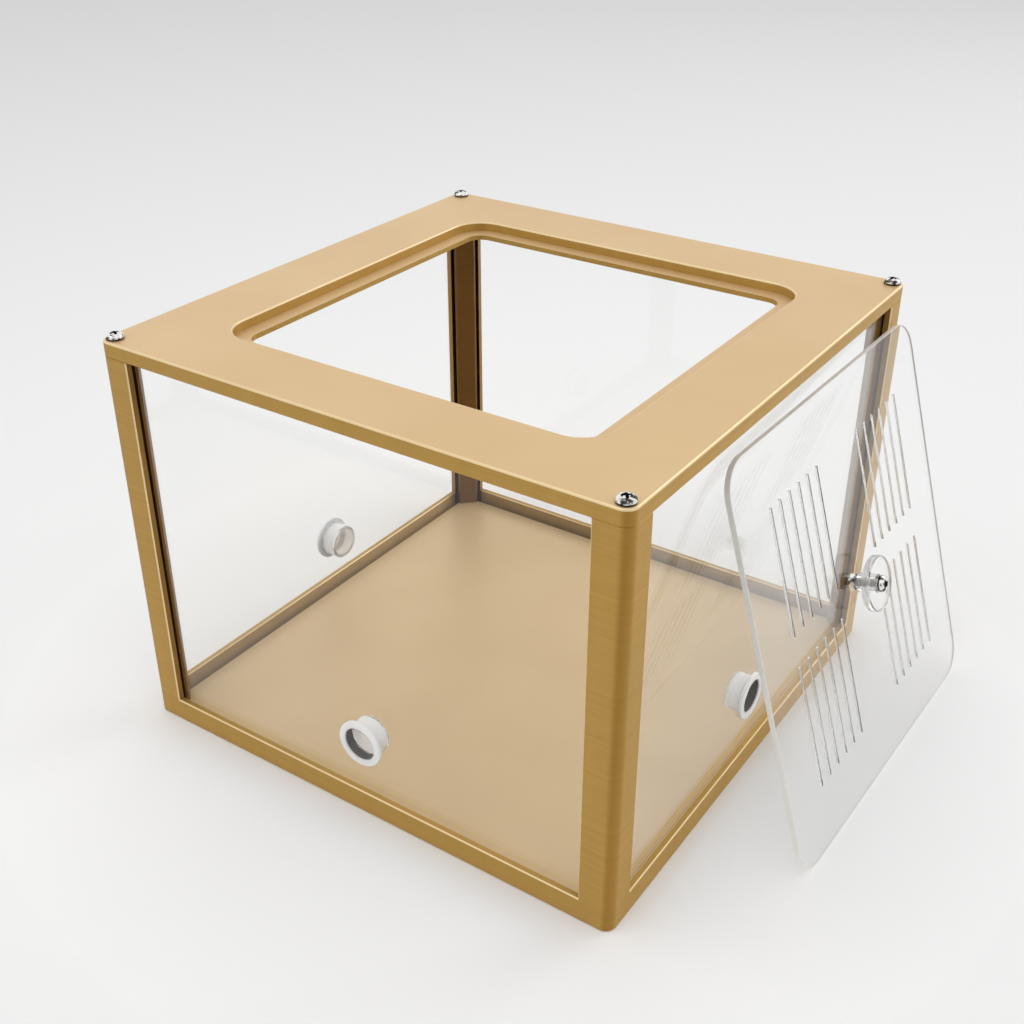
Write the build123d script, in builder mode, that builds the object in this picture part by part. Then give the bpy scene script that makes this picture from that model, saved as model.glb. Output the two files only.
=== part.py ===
from build123d import *
import os
from math import atan2, cos, degrees, radians, sin

os.makedirs("parts", exist_ok=True)

# Ant foraging area: a clear box in a printed frame, its lid leaning on one side.
# Origin at the centre of the base's underside, X right along the front, Y into
# the depth, Z up. The near corner is at plus X and minus Y. All sizes in millimetres.

# Box
box_side = 200.0
box_height = 152.0
corner_radius = 4.0
edge_break = 0.4
seam_break = 0.25

# Base print: floor, lip all round and four posts
floor_thickness = 3.5
rail_height = 9.0
lip_thickness = 2.4
lip_break = 0.3
groove_width = 2.6
groove_depth = 1.5
post_width = 12.0
groove_end = 7.0
rib_thickness = 1.2
rib_setback = 0.4

# Clear panels
panel_thickness = 2.0
panel_end_play = 0.2
panel_top_play = 0.2

# Top print
top_thickness = 5.5
top_round = 0.8
recess_side = 145.6
recess_depth = 3.7
recess_radius = 11.8
ledge_width = 5.8

# Screws and nut
thread_radius = 1.5
thread_play = 0.05
top_hole_play = 0.15
head_radius = 3.0
head_height = 2.25
head_round = 1.4
cross_length = 3.4
cross_width = 0.8
cross_depth = 1.3
screw_inset = 4.0
corner_screw_length = 16.0
pilot_extra = 1.0
nut_across_flats = 5.5
nut_thickness = 2.4

# Tube ports, one each in the front, right and left panels
tube_radius = 6.0
port_height = 28.0
flange_radius = 8.8
flange_thickness = 1.2
flange_round = 0.4
barrel_wall = 0.45
barrel_length = 7.0
barrel_play = 0.05
seal_depth = 0.6
seal_length = 3.0
seal_thickness = 0.4
seal_play = 0.05
mouth_play = 0.25
mouth_chamfer = 0.2
cap_thickness = 1.2
cap_round = 0.8
spigot_wall = 0.8
spigot_gap = 0.2

# Lid, with its vent slots and knob
lid_thickness = 2.0
lid_play = 0.5
lid_radius = 10.9
lid_edge_break = 0.15
lid_lean = 16.85
lid_shift = 28.4
lean_gap = 0.3
slot_count = 6
slot_pitch = 6.7
slot_first = 16.6
slot_start = 5.5
slot_length = 45.0
slot_width = 0.6
spacer_radius = 3.3
spacer_length = 4.5
disc_radius = 9.75
disc_thickness = 3.0
disc_round = 0.4
lid_screw_length = 12.0

# Places worked out from the sizes above
half_side = box_side / 2
post_top = box_height - top_thickness
panel_play = (groove_width - panel_thickness) / 2
panel_face = half_side - lip_thickness - panel_play
panel_bottom = floor_thickness - groove_depth
panel_width = box_side - 2 * (groove_end + panel_end_play)
panel_height = post_top - panel_top_play - panel_bottom
screw_place = half_side - screw_inset
lid_side = recess_side - 2 * lid_play
seal_outer = tube_radius + seal_thickness
seal_top = flange_thickness - seal_depth
bore_radius = seal_outer + seal_play
barrel_radius = bore_radius + barrel_wall

# Each side of the box has a plane on its panel's outer face, at the port's
# height, whose normal points out of the box and whose Y axis points up
side_normals = {"front": (0, -1, 0), "right": (1, 0, 0), "back": (0, 1, 0), "left": (-1, 0, 0)}


def side_plane(side):
    nx, ny, _ = side_normals[side]
    return Plane(
        origin=(nx * panel_face, ny * panel_face, port_height),
        x_dir=(-ny, nx, 0),
        z_dir=(nx, ny, 0),
    )


def pan_screw(seat, length):
    # A cross-recessed screw whose head stands on the seat plane
    with BuildPart() as screw:
        with BuildSketch(seat):
            Circle(head_radius)
        extrude(amount=head_height)
        fillet(screw.edges().sort_by(Axis(seat.origin, seat.z_dir))[-1], head_round)
        with BuildSketch(seat.offset(head_height)):
            Rectangle(cross_length, cross_width)
            Rectangle(cross_width, cross_length)
        extrude(amount=-cross_depth, mode=Mode.SUBTRACT)
        with BuildSketch(seat):
            Circle(thread_radius)
        extrude(amount=-length)
    return screw.part


# Base frame: floor and lip, with the lip's edges broken
with BuildPart() as base_frame:
    with BuildSketch(Plane.XY):
        RectangleRounded(box_side, box_side, corner_radius)
    extrude(amount=rail_height)
    chamfer(base_frame.faces().filter_by(Axis.Z).edges(), edge_break)
    with BuildSketch(Plane.XY.offset(floor_thickness)):
        Rectangle(box_side - 2 * lip_thickness, box_side - 2 * lip_thickness)
    extrude(amount=rail_height - floor_thickness, mode=Mode.SUBTRACT)
    chamfer(base_frame.faces().sort_by(Axis.Z)[-1].inner_wires().edges(), lip_break)
    # Posts: an L of two lips on the outside, a sloping face on the inside
    rib_end = post_width - rib_setback
    rib_face = lip_thickness + groove_width + rib_thickness
    with BuildSketch(Plane.XY.offset(floor_thickness)):
        with PolarLocations(0, 4):
            with Locations((half_side, -half_side)):
                Polygon(
                    (-post_width, edge_break),
                    (-post_width + edge_break, 0),
                    (0, 0),
                    (0, post_width - edge_break),
                    (-edge_break, post_width),
                    (-lip_thickness, post_width),
                    (-lip_thickness, rib_end),
                    (-rib_face, rib_end),
                    (-rib_end, rib_face),
                    (-rib_end, lip_thickness),
                    (-post_width, lip_thickness),
                    align=None,
                )
    extrude(amount=post_top - floor_thickness)
    # Rounded outer corners of the posts, and the broken edges of the seam on top
    with BuildSketch(Plane.XY.offset(floor_thickness)):
        Rectangle(box_side, box_side)
        RectangleRounded(box_side, box_side, corner_radius, mode=Mode.SUBTRACT)
    extrude(amount=post_top - floor_thickness, mode=Mode.SUBTRACT)
    chamfer(base_frame.faces().group_by(Axis.Z)[-1].edges(), seam_break)
    # Panel grooves in the floor and the posts
    with BuildSketch(Plane.XY.offset(panel_bottom)):
        with PolarLocations(0, 4):
            with Locations((0, half_side - lip_thickness - groove_width / 2)):
                Rectangle(box_side - 2 * groove_end, groove_width)
    extrude(amount=post_top - panel_bottom, mode=Mode.SUBTRACT)
    # Pilot holes for the corner screws
    with BuildSketch(Plane.XY.offset(post_top)):
        with GridLocations(2 * screw_place, 2 * screw_place, 2, 2):
            Circle(thread_radius + thread_play)
    extrude(amount=-(corner_screw_length - top_thickness + pilot_extra), mode=Mode.SUBTRACT)
base_frame.part.label = "base_frame"
export_step(base_frame.part, "parts/base_frame.step")


# Top frame: a plate with the lid's recess and the feeding opening
with BuildPart() as top_frame:
    with BuildSketch(Plane.XY.offset(post_top)):
        RectangleRounded(box_side, box_side, corner_radius)
    extrude(amount=top_thickness)
    chamfer(top_frame.faces().sort_by(Axis.Z)[0].edges(), seam_break)
    fillet(top_frame.faces().sort_by(Axis.Z)[-1].edges(), top_round)
    with BuildSketch(Plane.XY.offset(box_height)):
        RectangleRounded(recess_side, recess_side, recess_radius)
    extrude(amount=-recess_depth, mode=Mode.SUBTRACT)
    fillet(top_frame.faces().sort_by(Axis.Z)[-1].inner_wires().edges(), top_round)
    opening_side = recess_side - 2 * ledge_width
    with BuildSketch(Plane.XY.offset(post_top)):
        RectangleRounded(opening_side, opening_side, recess_radius - ledge_width)
    extrude(amount=top_thickness, mode=Mode.SUBTRACT)
    with BuildSketch(Plane.XY.offset(post_top)):
        with GridLocations(2 * screw_place, 2 * screw_place, 2, 2):
            Circle(thread_radius + top_hole_play)
    extrude(amount=top_thickness, mode=Mode.SUBTRACT)
top_frame.part.label = "top_frame"
export_step(top_frame.part, "parts/top_frame.step")


# Four pan-head screws through the top frame into the posts
screw_seats = [
    Plane((x_sign * screw_place, y_sign * screw_place, box_height))
    for x_sign in (-1, 1)
    for y_sign in (-1, 1)
]
four_screws = [pan_screw(seat, corner_screw_length) for seat in screw_seats]
with BuildPart() as corner_screws:
    add(four_screws)
corner_screws.part.label = "corner_screws"
export_step(corner_screws.part, "parts/corner_screws.step")


# Clear panels, standing in the floor's groove: only the back one has no port
for side in side_normals:
    plane = side_plane(side)
    with BuildPart() as panel:
        with BuildSketch(plane):
            with Locations((0, panel_bottom - port_height)):
                Rectangle(panel_width, panel_height, align=(Align.CENTER, Align.MIN))
            if side != "back":
                Circle(barrel_radius + barrel_play, mode=Mode.SUBTRACT)
        extrude(amount=-panel_thickness)
    panel.part.label = side + "_panel"
    export_step(panel.part, "parts/" + side + "_panel.step")


# Tube ports: a flanged bushing whose bore holds a seal ring behind the mouth, and
# an inner cap whose spigot fits the same bore and keeps the ring in
for side in ("front", "right", "left"):
    plane = side_plane(side)
    out_of_box = Axis(plane.origin, plane.z_dir)

    with BuildPart() as bushing:
        with BuildSketch(plane):
            Circle(flange_radius)
        extrude(amount=flange_thickness)
        fillet(bushing.edges().sort_by(out_of_box)[-1], flange_round)
        with BuildSketch(plane):
            Circle(barrel_radius)
        extrude(amount=-barrel_length)
        with BuildSketch(plane.offset(seal_top)):
            Circle(tube_radius + mouth_play)
        extrude(amount=seal_depth, mode=Mode.SUBTRACT)
        mouth_edges = bushing.edges().filter_by(GeomType.CIRCLE).group_by(out_of_box)[-1]
        chamfer(mouth_edges.sort_by(SortBy.RADIUS)[0], mouth_chamfer)
        with BuildSketch(plane.offset(-barrel_length)):
            Circle(bore_radius)
        extrude(amount=barrel_length + seal_top, mode=Mode.SUBTRACT)
    bushing.part.label = side + "_port_bushing"
    export_step(bushing.part, "parts/" + side + "_port_bushing.step")

    with BuildPart() as seal:
        with BuildSketch(plane.offset(seal_top)):
            Circle(seal_outer)
            Circle(tube_radius, mode=Mode.SUBTRACT)
        extrude(amount=-seal_length)
    seal.part.label = side + "_port_seal"
    export_step(seal.part, "parts/" + side + "_port_seal.step")

    with BuildPart() as cap:
        with BuildSketch(plane.offset(-barrel_length)):
            Circle(barrel_radius)
        extrude(amount=-cap_thickness)
        fillet(cap.edges().sort_by(out_of_box)[0], cap_round)
        with BuildSketch(plane.offset(-barrel_length)):
            Circle(seal_outer)
            Circle(seal_outer - spigot_wall, mode=Mode.SUBTRACT)
        extrude(amount=barrel_length + seal_top - seal_length - spigot_gap)
    cap.part.label = side + "_port_cap"
    export_step(cap.part, "parts/" + side + "_port_cap.step")


# The lid leans on the right side: near its near end its top edge is against the
# panel, and at its far end against the post, and its foot is on the ground
near_contact = lid_shift - (lid_side / 2 - lid_radius)
far_contact = half_side - post_width
lid_turn = atan2(half_side - panel_face, far_contact - near_contact)
along = Vector(sin(lid_turn), cos(lid_turn), 0)
outward = Vector(cos(lid_turn), -sin(lid_turn), 0)
lean = radians(lid_lean)
up_lid = outward * -sin(lean) + Vector(0, 0, cos(lean))
lid_normal = outward * cos(lean) + Vector(0, 0, sin(lean))
top_edge_x = panel_face + lean_gap + (lid_shift - near_contact) * sin(lid_turn) / cos(lid_turn)
foot = Vector(top_edge_x, lid_shift, 0) + outward * (lid_side * sin(lean))
lid_centre = foot + up_lid * (lid_side / 2) + lid_normal * (lid_thickness / 2)
lid_plane = Plane(origin=lid_centre, x_dir=along, z_dir=lid_normal)
lid_inside = lid_plane.offset(-lid_thickness / 2)
lid_outside = lid_plane.offset(lid_thickness / 2)
disc_seat = lid_outside.offset(spacer_length)
head_seat = disc_seat.offset(disc_thickness)
print("lid lean", round(degrees(lean), 2), "turn", round(degrees(lid_turn), 2), "centre", lid_centre)

with BuildPart() as lid_plate:
    with BuildSketch(lid_inside):
        RectangleRounded(lid_side, lid_side, lid_radius)
    extrude(amount=lid_thickness)
    chamfer(lid_plate.faces().filter_by(lid_plane).edges(), lid_edge_break)
    # Hole for the knob's screw, and four groups of vent slots
    slot_middle = slot_first + slot_pitch * (slot_count - 1) / 2
    slot_spread = 2 * slot_start + slot_length
    with BuildSketch(lid_inside):
        Circle(thread_radius + thread_play)
        with Locations((-slot_middle, 0), (slot_middle, 0)):
            with GridLocations(slot_pitch, slot_spread, slot_count, 2):
                SlotOverall(slot_length, slot_width, rotation=90)
    extrude(amount=lid_thickness, mode=Mode.SUBTRACT)
lid_plate.part.label = "lid_plate"
export_step(lid_plate.part, "parts/lid_plate.step")

with BuildPart() as lid_spacer:
    with BuildSketch(lid_outside):
        Circle(spacer_radius)
        Circle(thread_radius + thread_play, mode=Mode.SUBTRACT)
    extrude(amount=spacer_length)
lid_spacer.part.label = "lid_spacer"
export_step(lid_spacer.part, "parts/lid_spacer.step")

with BuildPart() as lid_disc:
    with BuildSketch(disc_seat):
        Circle(disc_radius)
    extrude(amount=disc_thickness)
    chamfer(lid_disc.edges().filter_by(GeomType.CIRCLE), disc_round)
    with BuildSketch(disc_seat):
        Circle(thread_radius + thread_play)
    extrude(amount=disc_thickness, mode=Mode.SUBTRACT)
lid_disc.part.label = "lid_disc"
export_step(lid_disc.part, "parts/lid_disc.step")

knob_screw = pan_screw(head_seat, lid_screw_length)
with BuildPart() as lid_screw:
    add(knob_screw)
lid_screw.part.label = "lid_screw"
export_step(lid_screw.part, "parts/lid_screw.step")

with BuildPart() as lid_nut:
    with BuildSketch(lid_inside):
        RegularPolygon(nut_across_flats / 2, 6, major_radius=False)
        Circle(thread_radius + thread_play, mode=Mode.SUBTRACT)
    extrude(amount=-nut_thickness)
lid_nut.part.label = "lid_nut"
export_step(lid_nut.part, "parts/lid_nut.step")
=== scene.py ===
import bpy
import math
from mathutils import Matrix, Vector


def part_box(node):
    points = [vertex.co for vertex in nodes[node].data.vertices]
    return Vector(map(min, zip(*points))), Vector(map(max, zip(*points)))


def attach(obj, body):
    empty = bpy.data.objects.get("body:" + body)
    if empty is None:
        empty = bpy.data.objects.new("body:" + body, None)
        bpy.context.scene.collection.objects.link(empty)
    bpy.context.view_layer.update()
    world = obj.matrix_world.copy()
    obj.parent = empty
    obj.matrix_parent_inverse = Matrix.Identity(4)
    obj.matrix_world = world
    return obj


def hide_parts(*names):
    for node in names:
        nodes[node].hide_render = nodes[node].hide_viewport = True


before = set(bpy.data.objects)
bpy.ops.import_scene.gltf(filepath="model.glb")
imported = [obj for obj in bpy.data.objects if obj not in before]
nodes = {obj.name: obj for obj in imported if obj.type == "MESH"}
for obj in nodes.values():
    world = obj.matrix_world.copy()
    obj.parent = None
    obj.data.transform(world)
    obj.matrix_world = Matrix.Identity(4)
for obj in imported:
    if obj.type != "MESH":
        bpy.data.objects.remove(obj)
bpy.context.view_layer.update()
bpy.ops.object.select_all(action="DESELECT")
print("frame loaded:", len(nodes), "nodes")

mm = 0.001


# Small helpers for materials
def newMaterial(name):
    material = bpy.data.materials.new(name)
    material.use_nodes = True
    tree = material.node_tree
    tree.nodes.clear()
    output = tree.nodes.new("ShaderNodeOutputMaterial")
    shader = tree.nodes.new("ShaderNodeBsdfPrincipled")
    tree.links.new(shader.outputs["BSDF"], output.inputs["Surface"])
    return material, tree, shader


def fillInputs(tree, node, inputs):
    for key, value in inputs.items():
        if isinstance(value, bpy.types.NodeSocket):
            tree.links.new(value, node.inputs[key])
        else:
            node.inputs[key].default_value = value


def addNode(tree, kind, inputs=None, **settings):
    node = tree.nodes.new("ShaderNode" + kind)
    for key, value in settings.items():
        setattr(node, key, value)
    fillInputs(tree, node, inputs or {})
    return node


def addGroup(tree, group, **inputs):
    node = tree.nodes.new("ShaderNodeGroup")
    node.node_tree = group
    fillInputs(tree, node, inputs)
    return node.outputs


def newGroup(name, values, results):
    # A group that takes a place and some values, and gives one number for each result
    group = bpy.data.node_groups.new(name, "ShaderNodeTree")
    sockets = group.interface
    sockets.new_socket("Vector", in_out="INPUT", socket_type="NodeSocketVector")
    for label, value in values.items():
        socket = sockets.new_socket(label, in_out="INPUT", socket_type="NodeSocketFloat")
        socket.default_value = value
    for label in results:
        sockets.new_socket(label, in_out="OUTPUT", socket_type="NodeSocketFloat")
    entry = group.nodes.new("NodeGroupInput")
    leave = group.nodes.new("NodeGroupOutput")
    return group, entry.outputs, leave.inputs


# Each of these adds one node; all but the last give what comes out of it
def objectPlace(tree):
    return addNode(tree, "TexCoord").outputs["Object"]


def parts(tree, vector):
    return addNode(tree, "SeparateXYZ", {0: vector}).outputs


def reckon(tree, operation, first, second=None):
    inputs = {0: first} if second is None else {0: first, 1: second}
    return addNode(tree, "Math", inputs, operation=operation).outputs[0]


def reckonVector(tree, operation, first, second=None):
    inputs = {0: first} if second is None else {0: first, 1: second}
    return addNode(tree, "VectorMath", inputs, operation=operation).outputs


def span(tree, value, fromLow=0.0, fromHigh=1.0, toLow=0.0, toHigh=1.0, **settings):
    inputs = {0: value, 1: fromLow, 2: fromHigh, 3: toLow, 4: toHigh}
    return addNode(tree, "MapRange", inputs, **settings).outputs[0]


def blend(tree, share, first, second):
    return addNode(tree, "Mix", {0: share, 2: first, 3: second}).outputs[0]


def blendColour(tree, share, first, second):
    inputs = {0: share, 6: first, 7: second}
    return addNode(tree, "Mix", inputs, data_type="RGBA").outputs[2]


def noise(tree, place, scale, detail):
    inputs = {"Vector": place, "Scale": scale, "Detail": detail}
    return addNode(tree, "TexNoise", inputs).outputs["Fac"]


def bump(tree, shader, relief, distance, height):
    inputs = {"Strength": relief, "Distance": distance, "Height": height}
    tree.links.new(addNode(tree, "Bump", inputs).outputs[0], shader.inputs["Normal"])


# Printed surface: layers up the sides, laid strokes on the flats, soft streaks and clouds
printPattern = {
    "sideBelow": 0.35,  # a face is a side while its normal rises less than this
    "flatAbove": 0.85,  # and a flat one when it rises more than this
    "layer": 0.2 * mm,
    "stroke": 0.5 * mm,
    "strokeDepth": 0.35,
    "streaks": 600.0,
    "streakLength": 12.0,
    "streakDetail": 2.0,
    "bands": (6.0, 6.0, 1400.0),
    "bandDetail": 3.0,
    "bandShare": 0.65,
    "clouds": 22.0,
    "cloudDetail": 2.0,
    "laidLow": 0.44,
    "laidHigh": 0.56,
    "laidShare": 0.5,
}


def makePrintedSurface(look):
    values = {"Layer": look["layer"], "Stroke": look["stroke"], "Streaks": look["streaks"]}
    group, put, give = newGroup("printedSurface", values, ("Tone", "Height"))
    along = parts(group, put["Vector"])
    facing = parts(group, addNode(group, "NewGeometry").outputs["Normal"])
    steep = reckon(group, "ABSOLUTE", facing["Z"])
    upright = span(group, steep, look["sideBelow"], look["flatAbove"], 1.0, 0.0)

    turns = reckon(group, "DIVIDE", along["Z"], put["Layer"])
    layers = reckon(group, "SINE", reckon(group, "MULTIPLY", turns, 2 * math.pi))

    diagonal = reckon(group, "ADD", along["X"], along["Y"])
    across = reckon(group, "DIVIDE", diagonal, put["Stroke"])
    strokes = reckon(group, "SINE", reckon(group, "MULTIPLY", across, math.sqrt(2) * math.pi))
    softStrokes = reckon(group, "MULTIPLY", strokes, look["strokeDepth"])
    height = blend(group, upright, softStrokes, layers)

    # Streaks are fine across a side and long up it; bands are the other way
    scales = {0: put["Streaks"], 1: put["Streaks"], 2: look["streakLength"]}
    finer = addNode(group, "CombineXYZ", scales).outputs[0]
    tall = reckonVector(group, "MULTIPLY", put["Vector"], finer)[0]
    wide = reckonVector(group, "MULTIPLY", put["Vector"], look["bands"])[0]
    streak = noise(group, tall, 1.0, look["streakDetail"])
    band = noise(group, wide, 1.0, look["bandDetail"])
    sides = blend(group, look["bandShare"], streak, band)
    cloud = noise(group, put["Vector"], look["clouds"], look["cloudDetail"])
    laid = span(group, strokes, -1.0, 1.0, look["laidLow"], look["laidHigh"])
    flats = blend(group, look["laidShare"], cloud, laid)
    group.links.new(blend(group, upright, flats, sides), give["Tone"])
    group.links.new(height, give["Height"])
    return group


printedSurface = makePrintedSurface(printPattern)

# Masks of painted shade for the posts' inner walls and the lip's wall, and of painted dark
# reflection for the rounded outer corners
frameWalls = {
    "Post": 87.6 * mm,  # from the box's middle: where a post begins
    "PostFace": 88.5 * mm,
    "Inner": 94.98 * mm,  # the sheet's groove lies between these two
    "Outer": 97.62 * mm,
    "Edge": 99.65 * mm,
    # These darken the posts' walls and the lip's wall with painted shade
    "Inside": 0.72,  # how much a post's wall darkens inside the sheet, and outside it
    "ShadeOutside": 0.4,
    "LipTop": 10.0 * mm,  # heights on the lip's wall
    "LipFoot": 4.0 * mm,
    "LipShade": 0.25,
    # The rounded corners get a painted dark reflection
    "RoundFrom": 95.9 * mm,
    "RoundTo": 98.3 * mm,
    "RoundReflectionDark": 0.62,
}


def makeFrameShadeMasks(values):
    group, put, give = newGroup("frameShadeMasks", values, ("GrooveShade", "RoundReflection"))
    size = parts(group, reckonVector(group, "ABSOLUTE", put["Vector"])[0])
    farther = reckon(group, "MAXIMUM", size["X"], size["Y"])
    nearer = reckon(group, "MINIMUM", size["X"], size["Y"])

    past = reckon(group, "GREATER_THAN", farther, put["Inner"])
    short = reckon(group, "LESS_THAN", farther, put["Outer"])
    upToSheet = reckon(group, "MULTIPLY", span(group, past, toLow=put["Inside"]), short)
    inEdge = reckon(group, "LESS_THAN", farther, put["Edge"])
    onFace = reckon(group, "LESS_THAN", nearer, put["PostFace"])
    inReveal = reckon(group, "MULTIPLY", inEdge, onFace)
    pastSheet = reckon(group, "MULTIPLY", inReveal, put["ShadeOutside"])
    within = reckon(group, "GREATER_THAN", nearer, put["Post"])
    postShade = reckon(group, "MULTIPLY", reckon(group, "MAXIMUM", upToSheet, pastSheet), within)

    # Painted shade darkens the lip's own wall towards the floor
    depth = span(group, size["Z"], put["LipTop"], put["LipFoot"], 0.0, put["LipShade"])
    lipShade = reckon(group, "MULTIPLY", upToSheet, reckon(group, "MULTIPLY", past, depth))
    # Painted dark reflection on the rounded outer corners
    ends = (put["RoundFrom"], put["RoundTo"], 0.0, put["RoundReflectionDark"])
    corner = span(group, nearer, *ends, interpolation_type="SMOOTHSTEP")
    group.links.new(reckon(group, "MAXIMUM", lipShade, postShade), give["GrooveShade"])
    group.links.new(corner, give["RoundReflection"])
    return group


frameShadeMasks = makeFrameShadeMasks(frameWalls)

# Side gold: a darker, shaded copy of the print's gold, as painted shade
shadedSideLook = {
    "deep": (0.44, 0.255, 0.052, 1),
    "bright": (0.56, 0.345, 0.092, 1),
    "groove": (0.085, 0.022, 0.002, 1),
    "round": (0.36, 0.18, 0.018, 1),
    "metallic": 0.65,
    "roughness": 0.48,
    "roughSpread": 0.04,
    "stretch": 0.85,
    "stretchTurn": 0.25,
    "streaks": 160.0,
    "toneLow": 0.1,
    "toneHigh": 0.9,
    "relief": 0.3,
    "layerDepth": 0.02 * mm,
}
# Floor and top: lighter, lit copies of the same gold, as painted light
litFloorLook = dict(
    shadedSideLook,
    deep=(0.73, 0.53, 0.285, 1),
    bright=(0.81, 0.60, 0.34, 1),
    metallic=0.25,
    roughness=0.42,
    stretch=0.0,
    toneLow=0.3,
    toneHigh=0.7,
    relief=0.2,
)
litTopLook = dict(
    litFloorLook, deep=(0.675, 0.465, 0.235, 1), bright=(0.75, 0.53, 0.28, 1), metallic=0.4
)
# Broken edges that look up: a still lighter gold, as a painted highlight
edgeHighlightLook = dict(litTopLook, deep=(0.80, 0.60, 0.32, 1), bright=(0.90, 0.71, 0.42, 1), roughness=0.32)


def goldMaterial(name, look, grooveShaded=False):
    material, tree, shader = newMaterial(name)
    place = objectPlace(tree)
    surface = addGroup(tree, printedSurface, Vector=place, Streaks=look["streaks"])
    tone = span(tree, surface["Tone"], look["toneLow"], look["toneHigh"])
    colour = blendColour(tree, tone, look["deep"], look["bright"])
    roughest = look["roughness"] + look["roughSpread"]
    smoothest = look["roughness"] - look["roughSpread"]
    rough = span(tree, tone, toLow=roughest, toHigh=smoothest)
    bump(tree, shader, look["relief"], look["layerDepth"], surface["Height"])
    if look["stretch"]:
        masks = addGroup(tree, frameShadeMasks, Vector=place)
        # Painted dark reflection on the rounded corners
        colour = blendColour(tree, masks["RoundReflection"], colour, look["round"])
        if grooveShaded:
            # Painted shade in the groove and on the posts' walls
            colour = blendColour(tree, masks["GrooveShade"], colour, look["groove"])
        # The layers spread a highlight up and down the sides
        around = addNode(tree, "Tangent", direction_type="RADIAL", axis="Z")
        tree.links.new(around.outputs[0], shader.inputs["Tangent"])
        shader.inputs["Anisotropic"].default_value = look["stretch"]
        shader.inputs["Anisotropic Rotation"].default_value = look["stretchTurn"]
    tree.links.new(colour, shader.inputs["Base Color"])
    tree.links.new(rough, shader.inputs["Roughness"])
    shader.inputs["Metallic"].default_value = look["metallic"]
    return material


# Clear sheet and the other see-through parts stay open to the lamps' shadow rays
def openToLamps(tree, shader, colour):
    surface = shader.outputs["BSDF"].links[0].to_socket
    forLamps = addNode(tree, "LightPath").outputs["Is Shadow Ray"]
    clear = addNode(tree, "BsdfTransparent", {"Color": colour}).outputs[0]
    either = addNode(tree, "MixShader", {0: forLamps, 1: shader.outputs["BSDF"], 2: clear})
    tree.links.new(either.outputs[0], surface)


clearLook = {
    "colour": (0.997, 1.0, 0.997, 1),
    "mirror": (0.35, 0.35, 0.35, 1),
    "roughness": 0.0,
    "transmission": 1.0,
    "index": 1.47,
    "shadow": (0.994, 0.996, 0.994, 1),
    "grain": 60.0,
    "detail": 3.0,
    "spread": 0.0,
    "relief": 0.002,
    "grainDepth": 0.03 * mm,
    "soak": 0.0,
    "soakDepth": 1.2 * mm,
}
cutLook = dict(
    clearLook,
    colour=(0.97, 0.955, 0.905, 1),
    mirror=(1, 1, 1, 1),
    roughness=0.35,
    transmission=0.12,
    shadow=(0.9, 0.9, 0.89, 1),
    grain=1400.0,
    spread=0.12,
    relief=0.25,
)
portLook = dict(
    clearLook,
    mirror=(1, 1, 1, 1),
    colour=(1.0, 0.985, 0.965, 1),
    roughness=0.2,
    transmission=0.18,
    index=1.45,
    shadow=(0.94, 0.94, 0.94, 1),
    grain=900.0,
    spread=0.14,
    relief=0.08,
    soak=0.7,
)
capLook = dict(portLook, roughness=0.14, transmission=0.85, soak=0.25)
slotLook = dict(clearLook, colour=(0.91, 0.915, 0.92, 1), roughness=0.16, transmission=0.9)
rimLook = dict(cutLook, colour=(0.93, 0.925, 0.91, 1), roughness=0.2, transmission=0.8)


def clearMaterial(name, look):
    material, tree, shader = newMaterial(name)
    grain = noise(tree, objectPlace(tree), look["grain"], look["detail"])
    bump(tree, shader, look["relief"], look["grainDepth"], grain)
    if look["spread"]:
        smoothest = look["roughness"] - look["spread"] / 2
        roughest = look["roughness"] + look["spread"] / 2
        rough = span(tree, grain, toLow=smoothest, toHigh=roughest)
        tree.links.new(rough, shader.inputs["Roughness"])
    shader.inputs["Base Color"].default_value = look["colour"]
    shader.inputs["Roughness"].default_value = look["roughness"]
    shader.inputs["Specular Tint"].default_value = look["mirror"]
    shader.inputs["Transmission Weight"].default_value = look["transmission"]
    shader.inputs["IOR"].default_value = look["index"]
    shader.inputs["Subsurface Weight"].default_value = look["soak"]
    shader.inputs["Subsurface Radius"].default_value = (1.0, 1.0, 1.0)
    shader.inputs["Subsurface Scale"].default_value = look["soakDepth"]
    openToLamps(tree, shader, look["shadow"])
    return material


sealLook = {
    "dark": (0.05, 0.049, 0.047, 1),
    "wearAndReflection": (0.21, 0.205, 0.195, 1),
    "roughness": 0.5,
    "grain": 1500.0,
    "detail": 4.0,
    "relief": 0.3,
    "grainDepth": 0.05 * mm,
}


def sealMaterial(name, look):
    material, tree, shader = newMaterial(name)
    grain = noise(tree, objectPlace(tree), look["grain"], look["detail"])
    colour = blendColour(tree, grain, look["dark"], look["wearAndReflection"])
    bump(tree, shader, look["relief"], look["grainDepth"], grain)
    tree.links.new(colour, shader.inputs["Base Color"])
    shader.inputs["Roughness"].default_value = look["roughness"]
    return material


# Steel with dark and bright patches in its colour: painted reflection
steelLook = {
    "darkPainted": (0.05, 0.047, 0.043, 1),
    "bright": (0.88, 0.87, 0.84, 1),
    "roughness": 0.14,
    "reflectionPatches": 700.0,
    "detail": 4.0,
    "reflectionLow": 0.4,
    "reflectionHigh": 0.5,
    "darkPaintedRougher": 0.1,
    "brightSmoother": 0.04,
}
# Near-black steel for the recess, the head's foot, the core, and the nut's bore and bevels:
# painted shade
recessShadeLook = dict(
    steelLook, darkPainted=(0.012, 0.011, 0.01, 1), bright=(0.035, 0.033, 0.03, 1), roughness=0.5
)


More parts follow.
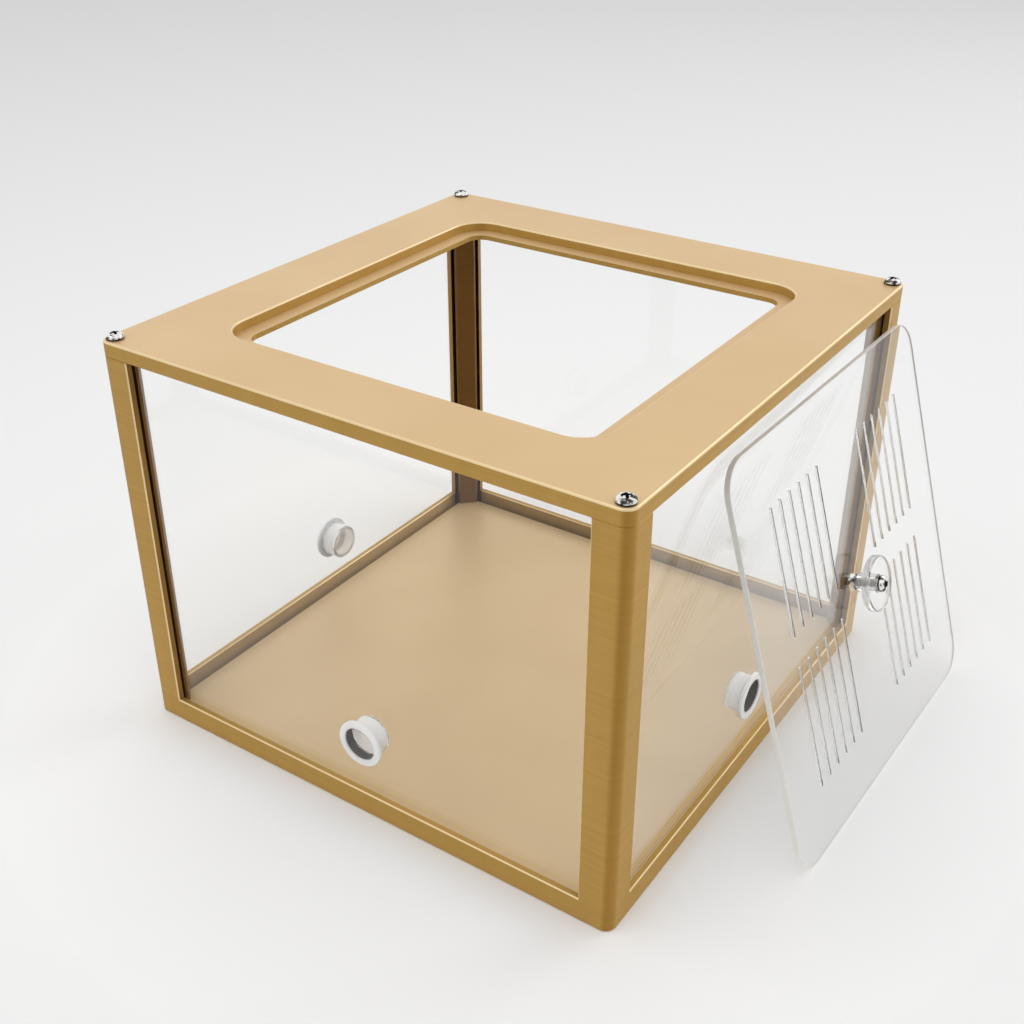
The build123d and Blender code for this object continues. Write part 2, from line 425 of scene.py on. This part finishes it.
def steelMaterial(name, look):
    material, tree, shader = newMaterial(name)
    # The patches stand in for reflections: painted reflection
    reflectionPatches = noise(tree, objectPlace(tree), look["reflectionPatches"], look["detail"])
    wearAndReflection = span(tree, reflectionPatches, look["reflectionLow"], look["reflectionHigh"])
    colour = blendColour(tree, wearAndReflection, look["darkPainted"], look["bright"])
    roughest = look["roughness"] + look["darkPaintedRougher"]
    smoothest = look["roughness"] - look["brightSmoother"]
    rough = span(tree, wearAndReflection, toLow=roughest, toHigh=smoothest)
    tree.links.new(colour, shader.inputs["Base Color"])
    tree.links.new(rough, shader.inputs["Roughness"])
    shader.inputs["Metallic"].default_value = 1.0
    return material


# The lid's own directions, read from the knob: out of its face, and level along it
plateLow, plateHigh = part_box("lid_plate")
discLow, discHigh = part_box("lid_disc")
plateMiddle = (plateLow + plateHigh) / 2
discMiddle = (discLow + discHigh) / 2
lidOut = (discMiddle - plateMiddle).normalized()
lidAlong = Vector((0, 0, 1)).cross(lidOut).normalized()
lidUp = lidOut.cross(lidAlong)
print("lid faces", [round(value, 4) for value in lidOut])

shadedSideGold = goldMaterial("goldPrintSidesShaded", shadedSideLook)
postShadeGold = goldMaterial("goldPrintPostsShaded", shadedSideLook, grooveShaded=True)
litFloorGold = goldMaterial("goldPrintFloorLit", litFloorLook)
litTopGold = goldMaterial("goldPrintTopLit", litTopLook)
edgeHighlightGold = goldMaterial("goldPrintEdgeHighlight", edgeHighlightLook)
clearSheet = clearMaterial("clearSheet", clearLook)
cutEdge = clearMaterial("frostedCutEdge", cutLook)
slotWall = clearMaterial("slotWall", slotLook)
discRim = clearMaterial("discRim", rimLook)
portPlastic = clearMaterial("milkyPortPlastic", portLook)
capPlastic = clearMaterial("milkyCapPlastic", capLook)
sealRubber = sealMaterial("sealRubber", sealLook)
screwSteel = steelMaterial("screwSteel", steelLook)
shadeSteel = steelMaterial("paintedShadeRecess", recessShadeLook)
print("materials made")


def dress(name, material):
    slots = nodes[name].data.materials
    slots.clear()
    slots.append(material)


for name in ("front_panel", "back_panel", "left_panel", "right_panel", "lid_spacer"):
    dress(name, clearSheet)
for side in ("front", "right", "left"):
    dress(side + "_port_bushing", portPlastic)
    dress(side + "_port_cap", capPlastic)
    dress(side + "_port_seal", sealRubber)
print("nodes dressed")


# Helpers for modelling
def deselect():
    bpy.ops.object.select_all(action="DESELECT")


def choose(piece):
    deselect()
    piece.select_set(True)
    bpy.context.view_layer.objects.active = piece


def applyAll(piece):
    choose(piece)
    bpy.ops.object.transform_apply(location=True, rotation=True, scale=True)


def turnOutwards():
    # Used in edit mode, which it leaves
    bpy.ops.mesh.select_all(action="SELECT")
    bpy.ops.mesh.normals_make_consistent(inside=False)
    bpy.ops.object.mode_set(mode="OBJECT")


def turned(name, profile, sides):
    # A turned piece: one ring after another up the axis, closed at both ends
    deselect()
    radius, height = profile[0]
    bpy.ops.mesh.primitive_circle_add(
        vertices=sides, radius=radius, fill_type="NGON", location=(0, 0, height)
    )
    piece = bpy.context.object
    piece.name = name
    bpy.ops.object.mode_set(mode="EDIT")
    bpy.ops.mesh.select_all(action="SELECT")
    for lastRing, ring in zip(profile, profile[1:]):
        bpy.ops.mesh.extrude_region_move(
            TRANSFORM_OT_translate={"value": (0, 0, ring[1] - lastRing[1])}
        )
        grow = ring[0] / lastRing[0]
        bpy.ops.transform.resize(value=(grow, grow, 1))
    turnOutwards()
    applyAll(piece)
    return piece


def cutWith(piece, cutter, operation):
    choose(piece)
    modifier = piece.modifiers.new("cut", "BOOLEAN")
    modifier.operation = operation
    modifier.object = cutter
    modifier.solver = "EXACT"
    bpy.ops.object.modifier_apply(modifier=modifier.name)
    bpy.data.objects.remove(cutter, do_unlink=True)


def joinInto(piece, *others):
    choose(piece)
    for other in others:
        other.select_set(True)
    bpy.ops.object.join()


def smooth(piece, degrees):
    choose(piece)
    bpy.ops.object.shade_smooth_by_angle(angle=math.radians(degrees))


def giveMaterials(piece, materials, chooseMaterial):
    piece.data.materials.clear()
    for material in materials:
        piece.data.materials.append(material)
    for face in piece.data.polygons:
        face.material_index = chooseMaterial(face)


def copyOf(piece, name):
    copied = piece.copy()
    copied.data = piece.data.copy()
    copied.name = name
    bpy.context.collection.objects.link(copied)
    return copied


# Cross-recessed pan-head screws
screwLook = {
    "headRadius": 3.0 * mm,
    "headHeight": 2.25 * mm,
    "headSides": 48,
    "foot": 0.24 * mm,
    "footRings": ((0.93, 0.0), (0.98, 1.0), (1.0, 2.5)),  # shares of the radius and the foot
    "flankEnd": 0.55,  # share of the radius
    "flankSteps": 9,
    "crown": 0.35 * mm,
    "crownRings": ((0.36, 0.42), (0.16, 0.08), (0.02, 0.0)),  # of the radius and the crown
    "crossTurn": 20,
    "armLength": 4.8 * mm,
    "armWidth": 1.4 * mm,
    "armFoot": 0.42,  # share that is left of an arm at its foot
    "recess": 1.35 * mm,
    # The next three bound the dark steel, which is painted shade
    "shadeReach": 0.72,  # these three are shares of the radius, the recess and the foot
    "shadeDepth": 0.8,
    "shadeFoot": 2.4,
    "steep": 0.5,
    "facesOut": 0.35,
    "core": 1.2 * mm,
    "coreSides": 24,
    "coreTop": 0.2 * mm,
    "point": 0.5 * mm,
    "pointShare": 0.6,
    "thread": 1.48 * mm,
    "threadShare": 0.98,
    "threadLift": 0.02 * mm,
    "threadSteps": 24,
    "pitch": 0.5 * mm,
    "smoothAngle": 35,
}


def recessArm(look, turn):
    # One bar of the cross, narrower and shorter at its foot
    deselect()
    bpy.ops.mesh.primitive_cube_add(size=1)
    bar = bpy.context.object
    bar.scale = (look["armLength"], look["armWidth"], look["recess"] * 2)
    bar.location = (0, 0, look["headHeight"])
    bar.rotation_euler = (0, 0, turn)
    for face in bar.data.polygons:
        face.select = face.normal.z < -0.9  # the foot alone
    for edge in bar.data.edges:
        edge.select = False
    for vertex in bar.data.vertices:
        vertex.select = vertex.co.z < 0
    bpy.ops.object.mode_set(mode="EDIT")
    bpy.ops.transform.resize(value=(look["armFoot"], look["armFoot"], 1))
    bpy.ops.object.mode_set(mode="OBJECT")
    applyAll(bar)
    return bar


def threadOn(look, length):
    # A ridge that winds down the core, made from one small triangle
    deselect()
    pitch = look["pitch"]
    bpy.ops.mesh.primitive_circle_add(
        vertices=3,
        radius=(look["thread"] - look["core"]) * look["threadShare"],
        fill_type="NOTHING",
        location=(look["core"] + look["threadLift"], 0, -pitch),
        rotation=(math.pi / 2, math.pi / 2, 0),
    )
    ridge = bpy.context.object
    applyAll(ridge)
    winding = ridge.modifiers.new("winding", "SCREW")
    winding.axis = "Z"
    winding.steps = look["threadSteps"]
    winding.render_steps = look["threadSteps"]
    winding.iterations = int((length - 2 * pitch) / pitch)
    winding.screw_offset = -pitch
    bpy.ops.object.modifier_apply(modifier=winding.name)
    bpy.ops.object.mode_set(mode="EDIT")
    bpy.ops.mesh.select_all(action="SELECT")
    bpy.ops.mesh.fill_holes(sides=3)
    turnOutwards()
    return ridge


def headMaterial(look):
    # 0 bright, 1 dark steel as painted shade: in the recess and round the foot
    def choice(face):
        across = Vector((face.center.x, face.center.y, 0))
        steep = abs(face.normal.z) < look["steep"]
        inner = across.length < look["headRadius"] * look["shadeReach"]
        outwards = face.normal.dot(across.normalized()) > look["facesOut"]
        low = face.center.z < look["headHeight"] - look["recess"] * look["shadeDepth"]
        inRecess = inner and (low or steep and not outwards)
        atFoot = not inner and face.center.z < look["foot"] * look["shadeFoot"]
        return 1 if inRecess or atFoot else 0

    return choice


def headProfile(look):
    radius, height = look["headRadius"], look["headHeight"]
    profile = [(radius * share, look["foot"] * up) for share, up in look["footRings"]]
    shoulder = profile[-1][1]
    rise = height - shoulder - look["crown"]
    end, steps = look["flankEnd"], look["flankSteps"]
    for step in range(1, steps + 1):
        angle = math.pi / 2 * step / steps
        share = end + (1 - end) * math.cos(angle)
        profile.append((radius * share, shoulder + rise * math.sin(angle)))
    for share, down in look["crownRings"]:
        profile.append((radius * share, height - look["crown"] * down))
    return profile


def makeScrew(name, look, length):
    head = turned(name, headProfile(look), look["headSides"])
    for turn in (look["crossTurn"], look["crossTurn"] + 90):
        cutWith(head, recessArm(look, math.radians(turn)), "DIFFERENCE")
    giveMaterials(head, (screwSteel, shadeSteel), headMaterial(look))
    point = (look["core"] * look["pointShare"], -length)
    shank = ((look["core"], -length + look["point"]), (look["core"], look["coreTop"]))
    core = turned(name + "Core", (point, *shank), look["coreSides"])
    # The core is dark steel: painted shade
    core.data.materials.append(shadeSteel)
    joinInto(head, core, threadOn(look, length))
    smooth(head, look["smoothAngle"])
    return head


# Hexagon nut with bevelled corners and a bored hole
nutLook = {
    "acrossFlats": 5.5 * mm,
    "thickness": 2.4 * mm,
    "bevel": 0.36 * mm,
    "faceShare": 0.97,
    "cornerShare": 1.01,
    "blankSides": 72,
    "bore": 1.5 * mm,
    "boreShare": 0.9,
    "mouthShare": 1.2,
    "mouth": 0.3 * mm,
    "past": 0.1 * mm,  # how far the drill goes past each face
    "boreSides": 36,
    # The dark steel in the bore and on the bevels is painted shade
    "shadeReach": 1.3,  # share of the bore
    "wall": 0.9,
    "bevelLow": 0.1,  # a bevelled corner's normal rises between these
    "bevelHigh": 0.95,
    "smoothAngle": 30,
}


def nutMaterial(look):
    # 0 bright, 1 dark steel as painted shade: in the bore and on the bevelled corners
    def choice(face):
        across = Vector((face.center.x, face.center.y, 0)).length
        level = abs(face.normal.z)
        inBore = across < look["bore"] * look["shadeReach"] and level < look["wall"]
        return 1 if inBore or look["bevelLow"] < level < look["bevelHigh"] else 0

    return choice


def makeNut(name, look):
    deselect()
    corner = look["acrossFlats"] / 2 / math.cos(math.pi / 6)
    thickness = look["thickness"]
    bpy.ops.mesh.primitive_cylinder_add(
        vertices=6, radius=corner, depth=thickness, location=(0, 0, -thickness / 2)
    )
    nut = bpy.context.object
    nut.name = name
    applyAll(nut)
    faceRadius = look["acrossFlats"] / 2 * look["faceShare"]
    blankRadius = corner * look["cornerShare"]
    blank = (
        (faceRadius, -thickness),
        (blankRadius, -thickness + look["bevel"]),
        (blankRadius, -look["bevel"]),
        (faceRadius, 0),
    )
    cutWith(nut, turned("nutBlank", blank, look["blankSides"]), "INTERSECT")
    boreRadius = look["bore"] * look["boreShare"]
    mouthRadius = look["bore"] * look["mouthShare"]
    drill = (
        (mouthRadius, -thickness - look["past"]),
        (boreRadius, -thickness + look["mouth"]),
        (boreRadius, -look["mouth"]),
        (mouthRadius, look["past"]),
    )
    cutWith(nut, turned("nutDrill", drill, look["boreSides"]), "DIFFERENCE")
    giveMaterials(nut, (screwSteel, shadeSteel), nutMaterial(look))
    smooth(nut, look["smoothAngle"])
    return nut


def seat(piece, matrix, body, node):
    piece.matrix_world = matrix
    bpy.context.view_layer.update()
    applyAll(piece)
    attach(piece, body)
    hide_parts(node)


copyLook = {"merge": 0.002 * mm, "smoothAngle": 32}


# A merged copy of a piece, with a finish chosen for each face
def finishFaces(node, name, body, finishes, chooseFinish):
    piece = copyOf(nodes[node], name)
    choose(piece)
    bpy.ops.object.mode_set(mode="EDIT")
    bpy.ops.mesh.select_all(action="SELECT")
    bpy.ops.mesh.remove_doubles(threshold=copyLook["merge"])
    bpy.ops.mesh.customdata_custom_splitnormals_clear()
    bpy.ops.object.mode_set(mode="OBJECT")
    giveMaterials(piece, finishes, chooseFinish)
    smooth(piece, copyLook["smoothAngle"])
    evened = piece.modifiers.new("evened", "WEIGHTED_NORMAL")
    evened.keep_sharp = True
    bpy.ops.object.modifier_apply(modifier=evened.name)
    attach(piece, body)
    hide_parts(node)


printedFaces = {
    "level": 0.95,  # a face is flat when its normal rises more than this
    "tilted": 0.15,  # and a broken edge when it rises between the two
    "broken": 0.3,  # an upright face that points this much both ways is one too
    "seam": 140.0 * mm,
    "floorTop": 5.0 * mm,
    "postSide": 88.7 * mm,
    "outside": 99.4 * mm,
}


def topFinish(face):
    # 0 flat, 1 side, 2 broken edge that looks up and gets the painted highlight
    look = printedFaces
    rise = face.normal.z
    return 0 if abs(rise) > look["level"] else 2 if rise > look["tilted"] else 1


def baseFinish(face):
    # As on the top plate, with the lips and the post tops finished like the sides
    look = printedFaces
    finish = topFinish(face)
    height = face.center.z
    if finish == 0 and height > look["floorTop"] or height > look["seam"]:
        return 1
    across = [abs(face.center.x), abs(face.center.y)]
    diagonal = min(abs(face.normal.x), abs(face.normal.y)) > look["broken"]
    onSide = max(across) > look["outside"] and min(across) < look["postSide"]
    return 2 if finish == 1 and diagonal and onSide else finish


clearFaces = {
    "flat": 0.9,
    "slotReach": 56 * mm,  # every slot ends inside this reach, and the edge lies outside it
    "discBore": 6 * mm,  # the disc's walls inside this radius are polished
}


def plateFinish(face):
    # 0 polished face, 1 frosted edge, 2 wall of a slot
    look = clearFaces
    aside = face.center - plateMiddle
    reach = max(abs(aside.dot(lidAlong)), abs(aside.dot(lidUp)))
    flat = abs(face.normal.dot(lidOut)) > look["flat"]
    return 0 if flat else 2 if reach < look["slotReach"] else 1


def discFinish(face):
    # 0 polished face and bore, 1 frosted rim
    look = clearFaces
    aside = face.center - discMiddle
    across = (aside - lidOut * aside.dot(lidOut)).length
    wall = abs(face.normal.dot(lidOut)) < look["flat"]
    return 1 if wall and across > look["discBore"] else 0


baseGolds = (litFloorGold, postShadeGold, edgeHighlightGold)
topGolds = (litTopGold, shadedSideGold, edgeHighlightGold)
plateClears = (clearSheet, cutEdge, slotWall)
finishFaces("base_frame", "baseFrame", "box", baseGolds, baseFinish)
finishFaces("top_frame", "topFrame", "box", topGolds, topFinish)
finishFaces("lid_plate", "lidPlate", "lid", plateClears, plateFinish)
finishFaces("lid_disc", "lidDisc", "lid", (clearSheet, discRim), discFinish)
print("frames, lid plate and disc finished")

# Each corner's sides in x and y, and the turn of its screw
corners = {"Near": (1, -1, 20), "Right": (1, 1, 65), "Back": (-1, 1, 5), "Left": (-1, -1, 50)}
screwLow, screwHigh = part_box("corner_screws")
cornerInset = screwHigh.x - screwLook["headRadius"]
topLevel = screwHigh.z - screwLook["headHeight"]
firstScrew = makeScrew("cornerScrewNear", screwLook, topLevel - screwLow.z)
otherScrews = [copyOf(firstScrew, "cornerScrew" + key) for key in ("Right", "Back", "Left")]
for screw, (xSide, ySide, turn) in zip([firstScrew] + otherScrews, corners.values()):
    place = Matrix.Translation((xSide * cornerInset, ySide * cornerInset, topLevel))
    seat(screw, place @ Matrix.Rotation(math.radians(turn), 4, "Z"), "box", "corner_screws")
print("corner screws made")

# The knob's screw and nut, set on the lid's axis
knobStack = {
    "lidThickness": 2.0 * mm,
    "spacerLength": 4.5 * mm,
    "discThickness": 3.0 * mm,
    "screwLength": 12.0 * mm,
}
halfLid = knobStack["lidThickness"] / 2
headSeat = plateMiddle + lidOut * (
    halfLid + knobStack["spacerLength"] + knobStack["discThickness"]
)
lidTurn = Matrix((lidAlong, lidUp, lidOut)).transposed().to_4x4()
knobScrew = makeScrew("knobScrew", screwLook, knobStack["screwLength"])
seat(knobScrew, Matrix.Translation(headSeat) @ lidTurn, "lid", "lid_screw")
nutPlace = Matrix.Translation(plateMiddle - lidOut * halfLid)
knobNut = makeNut("knobNut", nutLook)
seat(knobNut, nutPlace @ lidTurn, "lid", "lid_nut")
print("knob screw and nut made")

# Studio: a pale floor with a painted pool of light round the box, a room with one dark patch, and
# two soft lamps
studio = {
    "floorSide": 9.0,
    "floorDrop": 0.02 * mm,
    # floorNear to floorFar: a painted pool of light round the box
    "floorNear": (0.93, 0.93, 0.93, 1),
    "floorFar": (0.66, 0.66, 0.66, 1),
    "floorRough": 0.9,
    "floorShine": 0.1,
    "fadeFrom": 0.2,
    "fadeTo": 2.2,
    "fadeCurve": 0.5,
    "roomLow": 0.93,
    "roomHigh": 0.95,
    "highAt": 0.8,
    "roomSeen": 0.62,
    "roomDark": 0.04,
    "darkTowards": (0.56, -0.83, 0.0),
    "darkFrom": 0.8,
    "darkFull": 0.96,
}
lamps = {
    "frontLamp": {"place": (-0.4, -0.55, 1.4), "size": 0.9, "power": 1.7},
    "backLamp": {"place": (0.7, 1.3, 0.9), "size": 0.8, "power": 3.1},
}


def makeFloor(look):
    deselect()
    drop = (0, 0, -look["floorDrop"])
    bpy.ops.mesh.primitive_plane_add(size=look["floorSide"], location=drop)
    floor = bpy.context.object
    floor.name = "floor"
    material, tree, shader = newMaterial("paleFloor")
    # The colour darkens away from the box: a painted pool of light
    away = reckonVector(tree, "LENGTH", objectPlace(tree))["Value"]
    paintedFalloff = span(tree, away, look["fadeFrom"], look["fadeTo"])
    eased = reckon(tree, "POWER", paintedFalloff, look["fadeCurve"])
    colour = blendColour(tree, eased, look["floorNear"], look["floorFar"])
    tree.links.new(colour, shader.inputs["Base Color"])
    shader.inputs["Roughness"].default_value = look["floorRough"]
    shader.inputs["Specular IOR Level"].default_value = look["floorShine"]
    floor.data.materials.append(material)


def makeLamp(name, look):
    bpy.ops.object.light_add(type="AREA", location=look["place"])
    lamp = bpy.context.object
    lamp.name = name
    lamp.data.shape = "SQUARE"
    lamp.data.size = look["size"]
    lamp.data.energy = look["power"]
    lamp.rotation_euler = (-Vector(look["place"])).to_track_quat("-Z", "Y").to_euler()
    lamp.visible_camera = False


def makeRoom(look):
    world = bpy.data.worlds.new("paleRoom")
    world.use_nodes = True
    tree = world.node_tree
    background = tree.nodes["Background"]
    way = addNode(tree, "TexCoord").outputs["Generated"]
    rise = parts(tree, way)["Z"]
    level = span(tree, rise, 0.0, look["highAt"], look["roomLow"], look["roomHigh"])
    towards = reckonVector(tree, "DOT_PRODUCT", way, look["darkTowards"])["Value"]
    dark = span(tree, towards, look["darkFrom"], look["darkFull"])
    shade = blend(tree, dark, level, look["roomDark"])

    # What the camera sees of the room, straight or through a sheet, is as pale as the far floor
    path = addNode(tree, "LightPath").outputs
    turnsTaken = reckon(tree, "ADD", path["Diffuse Depth"], path["Glossy Depth"])
    unturned = reckon(tree, "LESS_THAN", turnsTaken, 0.5)  # no such bounce yet
    through = reckon(tree, "MULTIPLY", path["Is Transmission Ray"], unturned)
    seen = reckon(tree, "MAXIMUM", path["Is Camera Ray"], through)
    shown = blend(tree, seen, shade, look["roomSeen"])
    tree.links.new(shown, background.inputs["Strength"])
    background.inputs["Color"].default_value = (1, 1, 1, 1)
    bpy.context.scene.world = world


makeFloor(studio)
for name, look in lamps.items():
    makeLamp(name, look)
makeRoom(studio)

# Camera, at the place and angle that the photograph was taken from
cameraView = {
    "place": (0.23498, -0.35294, 0.31793),
    "tilt": 59.83,
    "turn": 34.15,
    "lens": 46.02,
    "sensor": 36.0,
    "clipStart": 0.01,
}


def makeCamera(look):
    angles = (math.radians(look["tilt"]), 0, math.radians(look["turn"]))
    bpy.ops.object.camera_add(location=look["place"], rotation=angles)
    camera = bpy.context.object
    camera.data.lens = look["lens"]
    camera.data.sensor_width = look["sensor"]
    camera.data.clip_start = look["clipStart"]
    bpy.context.scene.camera = camera


makeCamera(cameraView)
bpy.context.scene.view_settings.view_transform = "Standard"
print("studio and camera ready")
